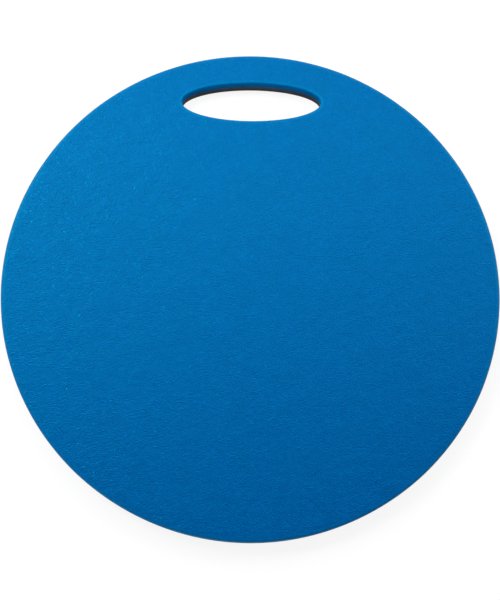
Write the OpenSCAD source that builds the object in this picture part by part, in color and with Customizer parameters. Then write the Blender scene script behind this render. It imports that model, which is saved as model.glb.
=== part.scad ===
// Round two-layer foam balance pad with an oval hand hole.
// Millimetres. +Z is up, the pad lies on z = 0, its centre is on the Z axis, and the hole is towards +Y.

/* [Pad] */
// Diameter of the pad
pad_d = 350; // [250:1:450]
// Thickness of the blue top sheet
top_t = 7.4; // [4:0.1:15]
// Thickness of the charcoal base sheet
base_t = 7.4; // [4:0.1:15]
// Thickness of the adhesive film between the sheets
film_t = 0.2; // [0.1:0.05:0.5]

/* [Rims] */
// Rounding of the top sheet's upper outside rim
top_rim_r = 2; // [0.5:0.1:3.5]
// Rounding of the base sheet's lower rims, on the outside and round the hole
base_rim_r = 0.8; // [0.2:0.1:2.5]

/* [Hand hole] */
// Length of the oval hole
hole_w = 101; // [80:0.5:130]
// Height of the oval hole, for four fingers side by side
hole_h = 29; // [20:0.5:40]
// Rounding of the hole's upper rim
hole_rim_r = 0.8; // [0.2:0.1:3]
// Width of the grip bar, from the hole to the pad's edge
grip_w = 21.75; // [15:0.25:40]

/* [Hidden] */

// Sides of the lofted oval, steps in a quarter-round rim, and the smoothness of round shapes
hole_sides = 96;
rim_steps = 4;
$fn = 180;
// How far a cut runs past the face that it leaves
overrun = 1;

pad_r = pad_d / 2;
hole_y = pad_r - grip_w - hole_h / 2;
film_z = base_t;
top_z = film_z + film_t;

blue = [0.02, 0.42, 0.67];
charcoal = [0.2, 0.2, 0.2];
adhesive = [0.78, 0.76, 0.7];

// A point of the oval at an angle, and the outward normal there
function oval_point(angle) = [hole_w / 2 * cos(angle), hole_h / 2 * sin(angle)];
function oval_normal(angle) =
    let (n = [hole_h * cos(angle), hole_w * sin(angle)])
    n / norm(n);

// The oval as a ring of points at one height, grown evenly all round
function oval_ring(grow, z) = [
    for (i = [0 : hole_sides - 1])
        let (angle = 360 * i / hole_sides, p = oval_point(angle) + grow * oval_normal(angle))
        [p.x, p.y + hole_y, z]
];

// A quarter-round rim as [growth, height] pairs, from the straight wall out to the face
function rim_arc(r) = [
    for (i = [0 : rim_steps])
        let (angle = 90 * i / rim_steps)
        [r * (1 - cos(angle)), r * sin(angle)]
];

// The hole's section as [growth, height] pairs, from under a sheet's lower face to over its upper one
function hole_section(t, low_r, high_r) = concat(
    [[low_r, -overrun]],
    low_r > 0 ? [for (i = [rim_steps : -1 : 0]) let (p = rim_arc(low_r)[i]) [p.x, low_r - p.y]] : [],
    high_r > 0 ? [for (p = rim_arc(high_r)) [p.x, t - high_r + p.y]] : [],
    [[high_r, t + overrun]]
);

// A solid skinned over rings that have the same number of points, from the lowest ring up
module loft(rings) {
    n = len(rings[0]);
    last = len(rings) - 1;
    sides = [
        for (j = [0 : last - 1], i = [0 : n - 1])
            let (a = j * n + i, b = j * n + (i + 1) % n)
            each [[a, a + n, b + n], [a, b + n, b]]
    ];
    floor_face = [for (i = [0 : n - 1]) i];
    roof_face = [for (i = [n - 1 : -1 : 0]) last * n + i];
    polyhedron([for (ring = rings) each ring], concat([floor_face, roof_face], sides), convexity = 4);
}

// What the die takes out of one sheet: the oval, with its rims flared to their rounding
module hand_hole(t, low_r, high_r) {
    loft([for (p = hole_section(t, low_r, high_r)) oval_ring(p.x, p.y)]);
}

// Half of a sheet's section: a straight side, with a quarter round at each rounded rim
module sheet_section(t, low_r, high_r) {
    translate([0, low_r]) square([pad_r, t - low_r - high_r]);
    translate([0, low_r]) mirror([0, 1]) rim_band(low_r);
    translate([0, t - high_r]) rim_band(high_r);
}

// The strip of the section from the end of the straight side out to the face
module rim_band(r) {
    if (r > 0) {
        square([pad_r - r, r]);
        translate([pad_r - r, 0]) intersection() {
            circle(r);
            square(r);
        }
    }
}

// One die-cut sheet that lies on z = 0, with its own rounding on the hole's upper rim
module sheet(t, low_r = 0, high_r = 0, hole_high_r = 0) {
    difference() {
        rotate_extrude() sheet_section(t, low_r, high_r);
        hand_hole(t, low_r, hole_high_r);
    }
}

module top_layer() {
    color(blue) translate([0, 0, top_z]) sheet(top_t, high_r = top_rim_r, hole_high_r = hole_rim_r);
}

module bond_film() {
    color(adhesive) translate([0, 0, film_z]) sheet(film_t);
}

module base_layer() {
    color(charcoal) sheet(base_t, low_r = base_rim_r);
}

top_layer();
bond_film();
base_layer();
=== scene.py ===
import math

import bmesh
import bpy
from bpy.props import FloatProperty, FloatVectorProperty, IntProperty, PointerProperty
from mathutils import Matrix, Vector


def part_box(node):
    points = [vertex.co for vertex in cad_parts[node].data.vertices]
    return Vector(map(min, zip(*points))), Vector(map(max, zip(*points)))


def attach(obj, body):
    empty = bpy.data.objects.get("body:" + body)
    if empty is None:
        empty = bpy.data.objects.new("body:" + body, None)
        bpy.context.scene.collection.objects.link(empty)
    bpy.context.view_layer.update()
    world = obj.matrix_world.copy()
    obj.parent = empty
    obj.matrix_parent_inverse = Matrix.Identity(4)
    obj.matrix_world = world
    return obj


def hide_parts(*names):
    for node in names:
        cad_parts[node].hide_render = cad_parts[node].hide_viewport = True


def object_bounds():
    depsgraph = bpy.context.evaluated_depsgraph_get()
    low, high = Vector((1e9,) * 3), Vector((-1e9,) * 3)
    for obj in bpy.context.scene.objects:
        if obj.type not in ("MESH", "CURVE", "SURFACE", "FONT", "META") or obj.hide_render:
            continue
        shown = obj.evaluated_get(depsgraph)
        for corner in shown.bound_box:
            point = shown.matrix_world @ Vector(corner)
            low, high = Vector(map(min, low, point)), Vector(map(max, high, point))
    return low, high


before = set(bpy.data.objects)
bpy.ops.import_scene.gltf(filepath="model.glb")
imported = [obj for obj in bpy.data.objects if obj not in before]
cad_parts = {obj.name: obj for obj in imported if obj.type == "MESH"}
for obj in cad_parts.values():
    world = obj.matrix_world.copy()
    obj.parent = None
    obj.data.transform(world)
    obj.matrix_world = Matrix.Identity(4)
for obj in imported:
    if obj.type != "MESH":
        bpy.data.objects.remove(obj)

bl_info = {
    "name": "Balance Pad",
    "version": (1, 0, 0),
    "blender": (4, 5, 0),
    "location": "View3D > Sidebar > Balance Pad",
    "description": "A round two-layer foam balance pad with an oval hand hole, and its studio",
    "category": "Add Mesh",
}

# The box of the solids as loaded
CAD_BOX = [list(corner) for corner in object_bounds()]

# The unit of length, and the least difference that counts
MM = 0.001
TINY = 0.001 * MM

# The body that the pieces ride on
BODY = "root"

# Width of the zone along the outside wall that nothing of the hole reaches
EDGE_ZONE = 5 * MM

# How far a cut face's normal may lean up or down, in the hole with its rims and on the outside
HOLE_LEAN = 0.6
OUTSIDE_LEAN = 0.05

# Angles up to which faces are one flat face, and up to which an edge is shaded smooth
FLAT_ANGLE = math.radians(0.1)
SMOOTH_ANGLE = math.radians(40)

# How steeply the droop grows towards the cut, and how fine the foam's unevenness is
DROOP_POWER = 3
WAVE_DETAIL = 1

# Patterns of the skin: their sizes against the grain's, and the detail of those that have one
GRAIN = {"size": 1.0, "Detail": 0.0}
SWELLS = {"size": 6.0, "Detail": 1.0}
CLOUDS = {"size": 14.0, "Detail": 3.0}
SPOTS = {"size": 1.2}

# How much of the skin's relief is left where it is pressed
PRESSED_RELIEF = 0.1

# How far out a spot's polish starts to fade and ends, which random draws give a spot its polish,
# and how much of the roughness the polish leaves
SPOT_FADE = (0.25, 0.6)
SPOT_DRAW = (0.6, 0.9)
POLISH_LEAVES = 0.25

# How rare the light speckles of the skin are, which are random tone and partly painted glints, and the
# share of the clouds in its tone
SPECKLE_AND_GLINT_POWER = 6.0
CLOUD_SHARE = 0.42

# Drag marks in the cut foam: their scale against the cells', their detail, and their share in its tone
DRAG_SCALE = 0.12
DRAG_DETAIL = 2.0
DRAG_SHARE = 0.4

# Darkest and lightest tone of the skin and of the cut foam, and the tone of the core that is mixed in
# along the rims as a painted highlight
SKIN_TONES = (0.91, 1.27)
CUT_TONES = (0.93, 1.21)
RIM_HIGHLIGHT_TONE = 0.842

# Places of a Mix node's colour sockets
MIX_FACTOR = 0
MIX_LOW = 6
MIX_HIGH = 7
MIX_RESULT = 2


def hole_box(node):
    """Lowest and highest corner of the hole in a plain die-cut sheet, from its inner wall's corners."""
    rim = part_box(node)[1].x
    inner = [v.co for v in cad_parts[node].data.vertices if v.co.xy.length < rim - EDGE_ZONE]
    low = Vector(min(co[i] for co in inner) for i in range(3))
    high = Vector(max(co[i] for co in inner) for i in range(3))
    return low, high


HOLE_LOW, HOLE_HIGH = hole_box("bond_film")


class PadSizes(bpy.types.PropertyGroup):
    """Sizes of the pad: its outline from the solids, and its rims and faces"""

    pad_r: FloatProperty(
        name="Pad radius",
        description="Radius of the pad",
        default=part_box("bond_film")[1].x,
        unit="LENGTH",
    )
    hole_w: FloatProperty(
        name="Hole length",
        description="Length of the oval hand hole",
        default=HOLE_HIGH.x - HOLE_LOW.x,
        unit="LENGTH",
    )
    hole_h: FloatProperty(
        name="Hole height",
        description="Height of the oval hand hole",
        default=HOLE_HIGH.y - HOLE_LOW.y,
        unit="LENGTH",
    )
    hole_y: FloatProperty(
        name="Hole place",
        description="How far the hole's middle lies from the pad's middle",
        default=(HOLE_HIGH.y + HOLE_LOW.y) / 2,
        unit="LENGTH",
    )
    top_rim_r: FloatProperty(
        name="Top rim",
        description="Rounding of the top sheet's upper outside rim",
        default=2 * MM,
        unit="LENGTH",
    )
    hole_rim_r: FloatProperty(
        name="Hole rim",
        description="Rounding of the hole's upper rim",
        default=0.8 * MM,
        unit="LENGTH",
    )
    base_rim_r: FloatProperty(
        name="Base rim",
        description="Rounding of the base sheet's lower rims, on the outside and round the hole",
        default=0.8 * MM,
        unit="LENGTH",
    )
    film_setback: FloatProperty(
        name="Film setback",
        description="How far the adhesive film's edge lies behind the cut foam",
        default=0.15 * MM,
        unit="LENGTH",
    )
    droop: FloatProperty(
        name="Rim droop",
        description="How far the die has pulled down the top sheet's rims",
        default=0.35 * MM,
        unit="LENGTH",
    )
    droop_w: FloatProperty(
        name="Droop width",
        description="How far in from the edge the droop starts",
        default=7.5 * MM,
        unit="LENGTH",
    )
    hole_droop_w: FloatProperty(
        name="Hole droop width",
        description="How far from the hole the droop starts",
        default=3.5 * MM,
        unit="LENGTH",
    )
    # This width also sets how far in the painted highlight reaches along the outside rim
    press_w: FloatProperty(
        name="Pressed width",
        description="How far in from the edge the die has pressed the skin smooth",
        default=3.2 * MM,
        unit="LENGTH",
    )
    # This width also sets how far out the painted highlight reaches round the hole
    hole_press_w: FloatProperty(
        name="Hole pressed width",
        description="How far from the hole the die has pressed the skin smooth",
        default=2.5 * MM,
        unit="LENGTH",
    )
    ring_w: FloatProperty(
        name="Ring width",
        description="Width of the rings of mesh cells along the rims",
        default=0.8 * MM,
        unit="LENGTH",
    )
    rings: IntProperty(
        name="Rings",
        description="Number of the rings of mesh cells along the rims",
        default=8,
    )
    cell: FloatProperty(
        name="Face cell",
        description="Size of the mesh cells within the rings",
        default=4 * MM,
        unit="LENGTH",
    )
    wave: FloatProperty(
        name="Unevenness",
        description="Height of the foam's soft unevenness",
        default=0.16 * MM,
        unit="LENGTH",
    )
    wave_length: FloatProperty(
        name="Unevenness length",
        description="Length of the foam's soft unevenness",
        default=24 * MM,
        unit="LENGTH",
    )
    rim_sides: IntProperty(
        name="Rim sides",
        description="Sides of the round outline",
        default=360,
    )
    hole_sides: IntProperty(
        name="Hole sides",
        description="Sides of the oval outline",
        default=192,
    )
    rim_steps: IntProperty(
        name="Rim steps",
        description="Steps in a rounded rim",
        default=10,
    )


class PadFinish(bpy.types.PropertyGroup):
    """Colours, roughness and grain of the foam"""

    blue: FloatVectorProperty(
        name="Blue",
        description="Colour of the top sheet",
        default=(0.0, 0.094, 0.355),
        subtype="COLOR",
    )
    # Also mixed in along the top sheet's rims as a painted highlight
    blue_core: FloatVectorProperty(
        name="Blue core",
        description="Colour of the top sheet where it is cut",
        default=(0.0006, 0.19, 0.505),
        subtype="COLOR",
    )
    charcoal: FloatVectorProperty(
        name="Charcoal",
        description="Colour of the base sheet",
        default=(0.05, 0.05, 0.049),
        subtype="COLOR",
    )
    # Also mixed in along the base sheet's rims as a painted highlight
    charcoal_core: FloatVectorProperty(
        name="Charcoal core",
        description="Colour of the base sheet where it is cut",
        default=(0.136, 0.136, 0.134),
        subtype="COLOR",
    )
    adhesive: FloatVectorProperty(
        name="Adhesive",
        description="Colour of the film between the sheets",
        default=(0.02, 0.022, 0.025),
        subtype="COLOR",
    )
    blue_gloss: FloatVectorProperty(
        name="Blue gloss",
        description="Tint of the light that the blue skin reflects",
        default=(0.0, 1.0, 1.0),
        subtype="COLOR",
    )
    blue_rough: FloatProperty(
        name="Blue roughness",
        description="Roughness of the top sheet's skin",
        default=0.5,
        subtype="FACTOR",
    )
    charcoal_rough: FloatProperty(
        name="Charcoal roughness",
        description="Roughness of the base sheet's skin",
        default=0.6,
        subtype="FACTOR",
    )
    cut_rough: FloatProperty(
        name="Cut roughness",
        description="Roughness of the cut walls",
        default=0.85,
        subtype="FACTOR",
    )
    grain: FloatProperty(
        name="Grain",
        description="Size of the skin's embossed grain",
        default=1.0 * MM,
        unit="LENGTH",
    )
    grain_depth: FloatProperty(
        name="Grain depth",
        description="Depth of the embossed grain",
        default=0.345 * MM,
        unit="LENGTH",
    )
    cell: FloatProperty(
        name="Foam cell",
        description="Size of the cells in the cut walls",
        default=0.45 * MM,
        unit="LENGTH",
    )
    cell_depth: FloatProperty(
        name="Cell depth",
        description="Depth of the opened cells in the cut walls",
        default=0.08 * MM,
        unit="LENGTH",
    )


class PadStudio(bpy.types.PropertyGroup):
    """Camera, light and floor of the studio"""

    camera_place: FloatVectorProperty(
        name="Camera",
        description="Where the camera stands",
        default=(-0.007875, -0.191375, 0.83317),
        subtype="XYZ",
        unit="LENGTH",
    )
    camera_turn: FloatVectorProperty(
        name="Camera turn",
        description="How the camera is turned from looking straight down",
        default=[math.radians(angle) for angle in (12.585, -0.573, 0.234)],
        subtype="EULER",
        unit="ROTATION",
    )
    lens: FloatProperty(
        name="Lens",
        description="Focal length of the camera in millimetres",
        default=72.0,
        unit="CAMERA",
    )
    back_place: FloatVectorProperty(
        name="Back lamp",
        description="Where the long soft box stands, behind the pad",
        default=(0.021, 0.291, 0.448),
        subtype="XYZ",
        unit="LENGTH",
    )
    back_size: FloatVectorProperty(
        name="Back lamp size",
        description="Width and height of the long soft box",
        default=(1.29, 0.25),
        size=2,
        unit="LENGTH",
    )
    back_power: FloatProperty(
        name="Back lamp power",
        description="Power of the long soft box in watts",
        default=3.25,
        unit="POWER",
    )
    left_place: FloatVectorProperty(
        name="Left lamp",
        description="Where the small soft box stands, on the left",
        default=(-0.486, 0.279, 0.799),
        subtype="XYZ",
        unit="LENGTH",
    )
    left_size: FloatVectorProperty(
        name="Left lamp size",
        description="Width and height of the small soft box",
        default=(0.25, 0.25),
        size=2,
        unit="LENGTH",
    )
    left_power: FloatProperty(
        name="Left lamp power",
        description="Power of the small soft box in watts",
        default=3.27,
        unit="POWER",
    )
    front_place: FloatVectorProperty(
        name="Front lamp",
        description="Where the fill stands, low in front of the pad and to the left",
        default=(-0.9, -1.28, 0.24),
        subtype="XYZ",
        unit="LENGTH",
    )
    front_size: FloatVectorProperty(
        name="Front lamp size",
        description="Width and height of the fill",
        default=(0.8, 0.8),
        size=2,
        unit="LENGTH",
    )
    front_power: FloatProperty(
        name="Front lamp power",
        description="Power of the fill in watts",
        default=9.5,
        unit="POWER",
    )
    room_light: FloatProperty(
        name="Room light",
        description="Brightness of the room all round",
        default=0.02,
    )
    surround_light: FloatProperty(
        name="Surround light",
        description="Brightness of the low white surround behind the pad and on its sides",
        default=1.3,
    )
    surround_side: FloatVectorProperty(
        name="Surround side",
        description="Which way the middle of the surround lies from the pad",
        default=(0.34, 0.94, 0.0),
        subtype="DIRECTION",
    )
    surround_fade: FloatVectorProperty(
        name="Surround fade",
        description="Sines of the heights at which the surround starts to fade and ends",
        default=(0.2, 0.7),
        size=2,
    )
    surround_ends: FloatVectorProperty(
        name="Surround ends",
        description="Cosines of the angles from its middle at which the surround ends and is full",
        default=(-0.5, 0.1),
        size=2,
    )
    floor_size: FloatProperty(
        name="Floor",
        description="Width of the floor",
        default=12.0,
        unit="LENGTH",
    )
    floor_glow: FloatProperty(
        name="Floor glow",
        description="How white the floor shows where no lamp reaches it",
        default=0.88,
        subtype="FACTOR",
    )
    floor_fade: FloatProperty(
        name="Floor fade",
        description="How far from the pad's middle the floor starts to show plain white",
        default=0.7,
        unit="LENGTH",
    )
    floor_bounce: FloatProperty(
        name="Floor bounce",
        description="How much of the light the floor throws back at the pad",
        default=0.5,
        subtype="FACTOR",
    )
    floor_shade: FloatProperty(
        name="Floor shade",
        description="How much of the lamps' light the floor shows, which a shadow takes away",
        default=0.16,
        subtype="FACTOR",
    )


# Modelling

def start_piece(name, radius, sides, place):
    """A new round outline as the start of a piece, with its object at the origin."""
    bpy.ops.object.select_all(action="DESELECT")
    bpy.ops.mesh.primitive_circle_add(vertices=sides, radius=radius, location=place)
    bpy.ops.object.transform_apply(location=True, rotation=True, scale=True)
    piece = bpy.context.object
    piece.name = name
    piece.data.name = name
    return piece


def pick(piece, kind, test):
    """Selects, in edit mode, those of the piece's edges or faces that pass the test."""
    bpy.ops.mesh.select_mode(type={"edges": "EDGE", "faces": "FACE"}[kind])
    bpy.ops.mesh.select_all(action="DESELECT")
    mesh = bmesh.from_edit_mesh(piece.data)
    chosen = [part for part in getattr(mesh, kind) if test(part)]
    if not chosen:
        raise RuntimeError(f"{piece.name} has none of the {kind} to work on")
    for part in chosen:
        part.select_set(True)
    mesh.select_flush_mode()
    bmesh.update_edit_mesh(piece.data)


def outside_edge(z):
    """A test for the edges of a sheet's round outline at one height."""
    def test(edge):
        rim = bpy.context.scene.pad_sizes.pad_r - EDGE_ZONE
        return all(abs(v.co.z - z) < TINY and v.co.xy.length > rim for v in edge.verts)
    return test


def hole_edge(z):
    """A test for the edges of the hole's outline at one height."""
    def test(edge):
        at_level = all(abs(v.co.z - z) < TINY for v in edge.verts)
        at_wall = any(abs(f.normal.z) < HOLE_LEAN for f in edge.link_faces)
        return at_level and at_wall and not outside_edge(z)(edge)
    return test


def level_face(z):
    """A test for the flat faces at one height."""
    def test(face):
        return all(abs(v.co.z - z) < TINY for v in face.verts)
    return test


def cut_sheet(name, low, high, setback=0.0):
    """One die-cut sheet, from its lower to its upper face: the round outline less the oval hole."""
    sizes = bpy.context.scene.pad_sizes
    hole_middle = (0, sizes.hole_y, high)
    hole_scale = (sizes.hole_w / 2 + setback, sizes.hole_h / 2 + setback, 1)
    piece = start_piece(name, sizes.pad_r - setback, sizes.rim_sides, (0, 0, high))
    bpy.ops.object.mode_set(mode="EDIT")
    bpy.ops.mesh.select_all(action="DESELECT")
    bpy.ops.mesh.primitive_circle_add(vertices=sizes.hole_sides, radius=1, location=hole_middle)
    bpy.ops.transform.resize(value=hole_scale, center_override=hole_middle)
    bpy.ops.mesh.select_all(action="SELECT")
    bpy.ops.mesh.fill(use_beauty=True)
    bpy.ops.mesh.select_all(action="SELECT")
    bpy.ops.mesh.dissolve_limited(angle_limit=FLAT_ANGLE)
    bpy.ops.mesh.select_all(action="SELECT")
    bpy.ops.mesh.extrude_region_move(TRANSFORM_OT_translate={"value": (0, 0, low - high)})
    bpy.ops.mesh.select_all(action="SELECT")
    bpy.ops.mesh.normals_make_consistent(inside=False)
    return piece


def round_rim(piece, test, radius):
    """Rounds the edges that pass the test."""
    pick(piece, "edges", test)
    steps = bpy.context.scene.pad_sizes.rim_steps
    bpy.ops.mesh.bevel(offset=radius, segments=steps, affect="EDGES", clamp_overlap=True)


def divide_face(piece, z):
    """Cuts the flat face at one height into rings along its rims and even cells within them."""
    sizes = bpy.context.scene.pad_sizes
    pick(piece, "faces", level_face(z))
    for _ in range(sizes.rings):
        bpy.ops.mesh.inset(thickness=sizes.ring_w, depth=0)
    bpy.ops.mesh.hide(unselected=True)
    cuts = int(sizes.pad_r / sizes.cell)
    for normal in (Vector((1, 0, 0)), Vector((0, 1, 0))):
        for step in range(-cuts, cuts + 1):
            midway = normal * (step + 0.5) * sizes.cell
            bpy.ops.mesh.select_all(action="SELECT")
            bpy.ops.mesh.bisect(plane_co=midway, plane_no=normal)
    bpy.ops.mesh.reveal(select=False)


def from_outside(place):
    """How far a place on a sheet lies from the outside wall."""
    return bpy.context.scene.pad_sizes.pad_r - place.xy.length


def from_hole(place):
    """About how far a place on a sheet lies from the hole's wall, and exactly so on the oval's axes."""
    sizes = bpy.context.scene.pad_sizes
    along = place.x / (sizes.hole_w / 2)
    across = (place.y - sizes.hole_y) / (sizes.hole_h / 2)
    slope = Vector((along / (sizes.hole_w / 2), across / (sizes.hole_h / 2))).length
    reach = Vector((along, across)).length
    return (reach - 1) * reach / slope


def press_rims_and_paint_highlight(piece):
    """Marks how far the die has pressed the skin smooth: 1 at the cut walls, and 0 on the open face. The
    same mark paints a highlight along the rims in the core's lighter colour.
    """
    sizes = bpy.context.scene.pad_sizes
    bpy.ops.object.mode_set(mode="OBJECT")
    mark = piece.data.attributes.new("pressed", "FLOAT", "POINT")
    for vert in piece.data.vertices:
        share = min(from_outside(vert.co) / sizes.press_w, from_hole(vert.co) / sizes.hole_press_w)
        mark.data[vert.index].value = max(0.0, 1 - share)


def droop_rims(piece, fixed_z):
    """Lowers both rims a little, as the die has pulled the skin down there, but not the bonded face."""
    sizes = bpy.context.scene.pad_sizes
    bpy.ops.object.mode_set(mode="OBJECT")
    for vert in piece.data.vertices:
        share = min(from_outside(vert.co) / sizes.droop_w, from_hole(vert.co) / sizes.hole_droop_w)
        if share < 1 and vert.co.z > fixed_z + TINY:
            vert.co.z -= sizes.droop * (1 - share) ** DROOP_POWER


def finish_piece(piece, node):
    """Smooth shading, and the piece's place in the frame."""
    bpy.ops.object.mode_set(mode="OBJECT")
    bpy.ops.object.shade_smooth_by_angle(angle=SMOOTH_ANGLE)
    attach(piece, BODY)
    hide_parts(node)


def is_cut(face):
    """True for a face of the straight outside wall, or of the hole's wall and its rims' steep part."""
    in_hole = face.calc_center_median().xy.length < bpy.context.scene.pad_sizes.pad_r - EDGE_ZONE
    return abs(face.normal.z) < (HOLE_LEAN if in_hole else OUTSIDE_LEAN)


def dress(piece, skin, wall=None):
    """Gives the piece its skin and, on its cut walls, its cut foam."""
    piece.data.materials.clear()
    piece.data.materials.append(skin)
    if wall is None:
        return
    piece.data.materials.append(wall)
    pick(piece, "faces", is_cut)
    piece.active_material_index = len(piece.data.materials) - 1
    bpy.ops.object.material_slot_assign()


def soften(piece, fixed_z):
    """Soft unevenness all over the piece, but for its face at one height, which is bonded."""
    sizes = bpy.context.scene.pad_sizes
    bpy.ops.object.mode_set(mode="OBJECT")
    free = piece.vertex_groups.new(name="free")
    free.add([v.index for v in piece.data.vertices if abs(v.co.z - fixed_z) > TINY], 1.0, "ADD")
    waves = bpy.data.textures.new(piece.name + "_waves", "CLOUDS")
    waves.noise_scale = sizes.wave_length
    waves.noise_depth = WAVE_DETAIL
    bump = piece.modifiers.new("waves", "DISPLACE")
    bump.texture = waves
    bump.texture_coords = "LOCAL"
    bump.vertex_group = "free"
    bump.strength = sizes.wave
    bpy.ops.object.modifier_apply(modifier=bump.name)


# Materials

def new_group(name, inputs, outputs):
    """An empty shader node group with its sockets, and its input and output nodes."""
    group = bpy.data.node_groups.new(name, "ShaderNodeTree")
    for socket, kind in inputs:
        group.interface.new_socket(socket, in_out="INPUT", socket_type=kind)
    for socket, kind in outputs:
        group.interface.new_socket(socket, in_out="OUTPUT", socket_type=kind)
    return group, group.nodes.new("NodeGroupInput"), group.nodes.new("NodeGroupOutput")


def add(tree, kind, inputs=None, **settings):
    """A new node with its settings, and its inputs linked or set by name or number."""
    node = tree.nodes.new(kind)
    for name, value in settings.items():
        setattr(node, name, value)
    for socket, value in (inputs or {}).items():
        if isinstance(value, bpy.types.NodeSocket):
            tree.links.new(value, node.inputs[socket])
        else:
            node.inputs[socket].default_value = value
    return node


def calc(tree, operation, *values):
    """The result of a math operation on two or three values."""
    return add(tree, "ShaderNodeMath", dict(enumerate(values)), operation=operation).outputs[0]


def fade(tree, value, low, high, span=(0.0, 1.0)):
    """A value that runs from low to high while the given one crosses the span, and stays so past it."""
    start, end = span
    inputs = {"Value": value, "From Min": start, "From Max": end, "To Min": low, "To Max": high}
    return add(tree, "ShaderNodeMapRange", inputs).outputs["Result"]


def skin_group():
    """Embossed skin: the height of its grain, a mask of its polished spots, and a speckled tone whose
    light speckles are partly painted glints.
    """
    found = bpy.data.node_groups.get("Embossed skin")
    if found:
        return found
    group, given, result = new_group(
        "Embossed skin",
        [("Vector", "NodeSocketVector"), ("Scale", "NodeSocketFloat"), ("Pressed", "NodeSocketFloat")],
        [("Height", "NodeSocketFloat"), ("Polish", "NodeSocketFloat"), ("Tone", "NodeSocketFloat")],
    )

    def texture(kind, size, **inputs):
        """A texture whose features are so many times the grain's size."""
        scale = calc(group, "MULTIPLY", given.outputs["Scale"], 1 / size)
        return add(group, kind, {"Vector": given.outputs["Vector"], "Scale": scale, **inputs})

    grain = texture("ShaderNodeTexNoise", **GRAIN)
    swells = texture("ShaderNodeTexNoise", **SWELLS)
    clouds = texture("ShaderNodeTexNoise", **CLOUDS)
    spots = texture("ShaderNodeTexVoronoi", **SPOTS)
    draw = add(group, "ShaderNodeSeparateColor", {0: spots.outputs["Color"]})
    relief = calc(group, "ADD", grain.outputs["Fac"], swells.outputs["Fac"])
    level = calc(group, "SUBTRACT", relief, 1.0)
    height = calc(group, "MULTIPLY", level, fade(group, given.outputs["Pressed"], 1.0, PRESSED_RELIEF))
    crown = fade(group, spots.outputs["Distance"], 1.0, 0.0, SPOT_FADE)
    drawn = fade(group, draw.outputs["Red"], 0.0, 1.0, SPOT_DRAW)
    # Sparse light speckles: random tone, and partly painted glints
    speckle_and_glint = calc(group, "POWER", draw.outputs["Green"], SPECKLE_AND_GLINT_POWER)
    tone = add(group, "ShaderNodeMix", {"Factor": CLOUD_SHARE, "A": speckle_and_glint, "B": clouds.outputs["Fac"]})
    group.links.new(height, result.inputs["Height"])
    group.links.new(calc(group, "MULTIPLY", crown, drawn), result.inputs["Polish"])
    group.links.new(tone.outputs[0], result.inputs["Tone"])
    return group


def cells_group():
    """Cut foam: the height of its opened cells, and a tone from the cells and the blade's drag marks."""
    found = bpy.data.node_groups.get("Cut foam cells")
    if found:
        return found
    group, given, result = new_group(
        "Cut foam cells",
        [("Vector", "NodeSocketVector"), ("Scale", "NodeSocketFloat")],
        [("Height", "NodeSocketFloat"), ("Tone", "NodeSocketFloat")],
    )
    vector = given.outputs["Vector"]
    scale = given.outputs["Scale"]
    cells = add(group, "ShaderNodeTexVoronoi", {"Vector": vector, "Scale": scale})
    coarse = calc(group, "MULTIPLY", scale, DRAG_SCALE)
    drag = add(group, "ShaderNodeTexNoise", {"Vector": vector, "Scale": coarse, "Detail": DRAG_DETAIL})
    draw = add(group, "ShaderNodeSeparateColor", {0: cells.outputs["Color"]})
    tone = add(group, "ShaderNodeMix",
               {"Factor": DRAG_SHARE, "A": draw.outputs["Green"], "B": drag.outputs["Fac"]})
    group.links.new(cells.outputs["Distance"], result.inputs["Height"])
    group.links.new(tone.outputs[0], result.inputs["Tone"])
    return group


def new_material(name):
    """A material with a Principled shader and Object coordinates."""
    material = bpy.data.materials.new(name)
    material.use_nodes = True
    tree = material.node_tree
    tree.nodes.clear()
    shader = tree.nodes.new("ShaderNodeBsdfPrincipled")
    output = tree.nodes.new("ShaderNodeOutputMaterial")
    tree.links.new(shader.outputs["BSDF"], output.inputs["Surface"])
    place = tree.nodes.new("ShaderNodeTexCoord").outputs["Object"]
    return material, tree, shader, place


def shade_of(colour, factor):
    """A colour made lighter or darker, with full alpha."""
    return (*[min(1.0, channel * factor) for channel in colour], 1.0)


def tone_mix(tree, factor, low, high):
    """A colour that runs from low to high with a factor."""
    inputs = {MIX_FACTOR: factor, MIX_LOW: low, MIX_HIGH: high}
    return add(tree, "ShaderNodeMix", inputs, data_type="RGBA").outputs[MIX_RESULT]


def emboss(tree, shader, height, depth):
    """Raises the surface of a shader by a height that is so deep."""
    bump = add(tree, "ShaderNodeBump", {"Height": height, "Distance": depth})
    tree.links.new(bump.outputs["Normal"], shader.inputs["Normal"])


def embossed_skin(name, colour, core, roughness, gloss_tint=None):
    """A foam sheet's outer face: fine speckled grain with polished spots, and a highlight painted along
    its rims in the core's lighter colour.
    """
    finish = bpy.context.scene.pad_finish
    material, tree, shader, place = new_material(name)
    grain = add(tree, "ShaderNodeGroup", node_tree=skin_group())
    tree.links.new(place, grain.inputs["Vector"])
    grain.inputs["Scale"].default_value = 1 / finish.grain
    pressed = add(tree, "ShaderNodeAttribute", attribute_name="pressed")
    tree.links.new(pressed.outputs["Fac"], grain.inputs["Pressed"])
    dark, light = (shade_of(colour, tone) for tone in SKIN_TONES)
    face = tone_mix(tree, grain.outputs["Tone"], dark, light)
    # Painted highlight: the core's lighter colour mixed in along the pressed rims
    rim_highlight = tone_mix(tree, pressed.outputs["Fac"], face, shade_of(core, RIM_HIGHLIGHT_TONE))
    tree.links.new(rim_highlight, shader.inputs["Base Color"])
    rough = fade(tree, grain.outputs["Polish"], roughness, roughness * POLISH_LEAVES)
    tree.links.new(rough, shader.inputs["Roughness"])
    emboss(tree, shader, grain.outputs["Height"], finish.grain_depth)
    if gloss_tint is not None:
        shader.inputs["Specular Tint"].default_value = (*gloss_tint, 1.0)
    return material


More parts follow.
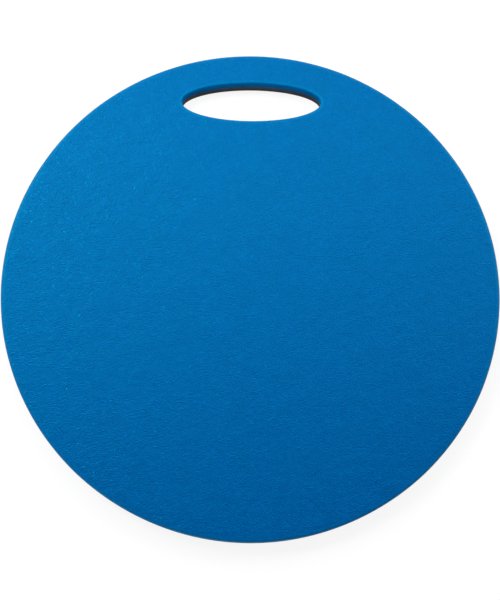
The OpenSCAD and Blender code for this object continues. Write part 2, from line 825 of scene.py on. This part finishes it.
def cut_foam(name, colour):
    """A foam sheet's die-cut wall: opened cells, without gloss and a little uneven in tone."""
    finish = bpy.context.scene.pad_finish
    material, tree, shader, place = new_material(name)
    cells = add(tree, "ShaderNodeGroup", node_tree=cells_group())
    tree.links.new(place, cells.inputs["Vector"])
    cells.inputs["Scale"].default_value = 1 / finish.cell
    dark, light = (shade_of(colour, tone) for tone in CUT_TONES)
    wall = tone_mix(tree, cells.outputs["Tone"], dark, light)
    tree.links.new(wall, shader.inputs["Base Color"])
    shader.inputs["Roughness"].default_value = finish.cut_rough
    shader.inputs["Specular IOR Level"].default_value = 0.0
    emboss(tree, shader, cells.outputs["Height"], finish.cell_depth)
    return material


# Studio

def seen_ray(tree):
    """1 for rays from the camera and for those that gloss or glass sends on, and 0 for all others."""
    path = tree.nodes.new("ShaderNodeLightPath")
    total = path.outputs["Is Camera Ray"]
    for name in ("Is Glossy Ray", "Is Transmission Ray"):
        total = calc(tree, "MAXIMUM", total, path.outputs[name])
    return total


def grey(level):
    """A grey of one brightness, with full alpha."""
    return (level, level, level, 1.0)


def make_floor(studio):
    """A wide white floor that keeps the pad's shadow, and shows plain white further out."""
    bpy.ops.object.select_all(action="DESELECT")
    bpy.ops.mesh.primitive_plane_add(size=studio.floor_size, location=(0, 0, CAD_BOX[0][2]))
    floor = bpy.context.object
    floor.name = "floor"
    material = bpy.data.materials.new("white_floor")
    material.use_nodes = True
    tree = material.node_tree
    tree.nodes.clear()
    place = tree.nodes.new("ShaderNodeTexCoord").outputs["Object"]
    far = add(tree, "ShaderNodeVectorMath", {0: place}, operation="LENGTH").outputs["Value"]
    glow = fade(tree, far, studio.floor_glow, 1.0, (CAD_BOX[1][0], studio.floor_fade))
    lit = add(tree, "ShaderNodeBsdfDiffuse", {"Color": grey(studio.floor_bounce)})
    shaded = add(tree, "ShaderNodeBsdfDiffuse", {"Color": grey(studio.floor_shade)})
    white = add(tree, "ShaderNodeEmission", {"Color": grey(1.0), "Strength": glow})
    seen = add(tree, "ShaderNodeAddShader", {0: shaded.outputs[0], 1: white.outputs[0]})
    mix = add(tree, "ShaderNodeMixShader", {0: seen_ray(tree), 1: lit.outputs[0], 2: seen.outputs[0]})
    output = tree.nodes.new("ShaderNodeOutputMaterial")
    tree.links.new(mix.outputs[0], output.inputs["Surface"])
    floor.data.materials.append(material)


def make_room(studio):
    """A white room to look at, and the soft light of a low white surround that is open in front."""
    world = bpy.data.worlds.new("room")
    bpy.context.scene.world = world
    world.use_nodes = True
    tree = world.node_tree
    tree.nodes.clear()
    towards = tree.nodes.new("ShaderNodeTexCoord").outputs["Generated"]
    axes = add(tree, "ShaderNodeSeparateXYZ", {0: towards})
    low = fade(tree, axes.outputs["Z"], studio.surround_light, 0.0, studio.surround_fade)
    facing = add(tree, "ShaderNodeVectorMath", {0: towards, 1: studio.surround_side},
                 operation="DOT_PRODUCT").outputs["Value"]
    behind = fade(tree, facing, 0.0, 1.0, studio.surround_ends)
    strength = calc(tree, "MULTIPLY_ADD", low, behind, studio.room_light)
    light = add(tree, "ShaderNodeBackground", {"Color": grey(1.0), "Strength": strength})
    white = add(tree, "ShaderNodeBackground", {"Color": grey(1.0), "Strength": 1.0})
    path = tree.nodes.new("ShaderNodeLightPath")
    mix = add(tree, "ShaderNodeMixShader",
              {0: path.outputs["Is Camera Ray"], 1: light.outputs[0], 2: white.outputs[0]})
    output = tree.nodes.new("ShaderNodeOutputWorld")
    tree.links.new(mix.outputs[0], output.inputs["Surface"])


def make_lamp(name, place, power, size, in_gloss=True):
    """A soft box that is turned towards the middle of the pad, and is kept out of gloss or not."""
    lamp = bpy.data.lights.new(name, "AREA")
    lamp.shape = "RECTANGLE"
    lamp.size, lamp.size_y = size
    lamp.energy = power
    box = bpy.data.objects.new(name, lamp)
    bpy.context.scene.collection.objects.link(box)
    box.location = place
    box.visible_glossy = in_gloss
    box.rotation_euler = (-Vector(place)).to_track_quat("-Z", "Y").to_euler()


def make_camera(studio):
    """The camera at the photograph's viewing angle."""
    view = bpy.data.cameras.new("camera")
    view.lens = studio.lens
    camera = bpy.data.objects.new("camera", view)
    bpy.context.scene.collection.objects.link(camera)
    camera.location = studio.camera_place
    camera.rotation_euler = studio.camera_turn
    bpy.context.scene.camera = camera


# Operators

class PAD_OT_base_sheet(bpy.types.Operator):
    """Models the charcoal base sheet"""

    bl_idname = "pad.base_sheet"
    bl_label = "Base Sheet"

    def execute(self, context):
        sizes = context.scene.pad_sizes
        finish = context.scene.pad_finish
        low, high = (corner.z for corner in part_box("base_layer"))
        piece = cut_sheet("base_foam", low, high)
        round_rim(piece, outside_edge(low), sizes.base_rim_r)
        round_rim(piece, hole_edge(low), sizes.base_rim_r)
        divide_face(piece, low)
        skin = embossed_skin("charcoal_skin", finish.charcoal, finish.charcoal_core,
                             finish.charcoal_rough)
        dress(piece, skin, cut_foam("charcoal_cut_foam", finish.charcoal_core))
        press_rims_and_paint_highlight(piece)
        finish_piece(piece, "base_layer")
        return {"FINISHED"}


class PAD_OT_bond_film(bpy.types.Operator):
    """Models the thin film of adhesive between the sheets"""

    bl_idname = "pad.bond_film"
    bl_label = "Bond Film"

    def execute(self, context):
        finish = context.scene.pad_finish
        low, high = (corner.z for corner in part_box("bond_film"))
        piece = cut_sheet("adhesive_film", low, high, context.scene.pad_sizes.film_setback)
        # The film shows only as a line in the cut walls, so it has their dull finish all over
        dress(piece, cut_foam("adhesive", finish.adhesive))
        finish_piece(piece, "bond_film")
        return {"FINISHED"}


class PAD_OT_top_sheet(bpy.types.Operator):
    """Models the blue top sheet, with its rounded rims and its embossed face"""

    bl_idname = "pad.top_sheet"
    bl_label = "Top Sheet"

    def execute(self, context):
        sizes = context.scene.pad_sizes
        finish = context.scene.pad_finish
        low, high = (corner.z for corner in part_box("top_layer"))
        piece = cut_sheet("top_foam", low, high)
        round_rim(piece, outside_edge(high), sizes.top_rim_r)
        round_rim(piece, hole_edge(high), sizes.hole_rim_r)
        divide_face(piece, high)
        skin = embossed_skin("blue_skin", finish.blue, finish.blue_core,
                             finish.blue_rough, finish.blue_gloss)
        dress(piece, skin, cut_foam("blue_cut_foam", finish.blue_core))
        press_rims_and_paint_highlight(piece)
        droop_rims(piece, low)
        soften(piece, low)
        finish_piece(piece, "top_layer")
        return {"FINISHED"}


class PAD_OT_studio(bpy.types.Operator):
    """Sets up the floor, the lamps, the room and the camera"""

    bl_idname = "pad.studio"
    bl_label = "Studio"

    def execute(self, context):
        studio = context.scene.pad_studio
        make_floor(studio)
        make_room(studio)
        make_lamp("back", studio.back_place, studio.back_power, studio.back_size)
        make_lamp("left", studio.left_place, studio.left_power, studio.left_size)
        make_lamp("front", studio.front_place, studio.front_power, studio.front_size, in_gloss=False)
        make_camera(studio)
        context.scene.view_settings.view_transform = "Standard"
        return {"FINISHED"}


class PAD_PT_panel(bpy.types.Panel):
    """Builds the pad piece by piece"""

    bl_idname = "PAD_PT_panel"
    bl_label = "Balance Pad"
    bl_space_type = "VIEW_3D"
    bl_region_type = "UI"
    bl_category = "Balance Pad"

    def draw(self, context):
        for operator in OPERATORS:
            self.layout.operator(operator.bl_idname)


# Registration

GROUPS = {"pad_sizes": PadSizes, "pad_finish": PadFinish, "pad_studio": PadStudio}
OPERATORS = (PAD_OT_base_sheet, PAD_OT_bond_film, PAD_OT_top_sheet, PAD_OT_studio)


def register():
    for cls in (*GROUPS.values(), *OPERATORS, PAD_PT_panel):
        bpy.utils.register_class(cls)
    for name, cls in GROUPS.items():
        setattr(bpy.types.Scene, name, PointerProperty(type=cls))


def unregister():
    for name in GROUPS:
        delattr(bpy.types.Scene, name)
    for cls in (PAD_PT_panel, *reversed(OPERATORS), *reversed(GROUPS.values())):
        bpy.utils.unregister_class(cls)


def main():
    register()
    bpy.ops.pad.base_sheet()
    bpy.ops.pad.bond_film()
    bpy.ops.pad.top_sheet()
    bpy.ops.pad.studio()


if __name__ == "__main__":
    main()
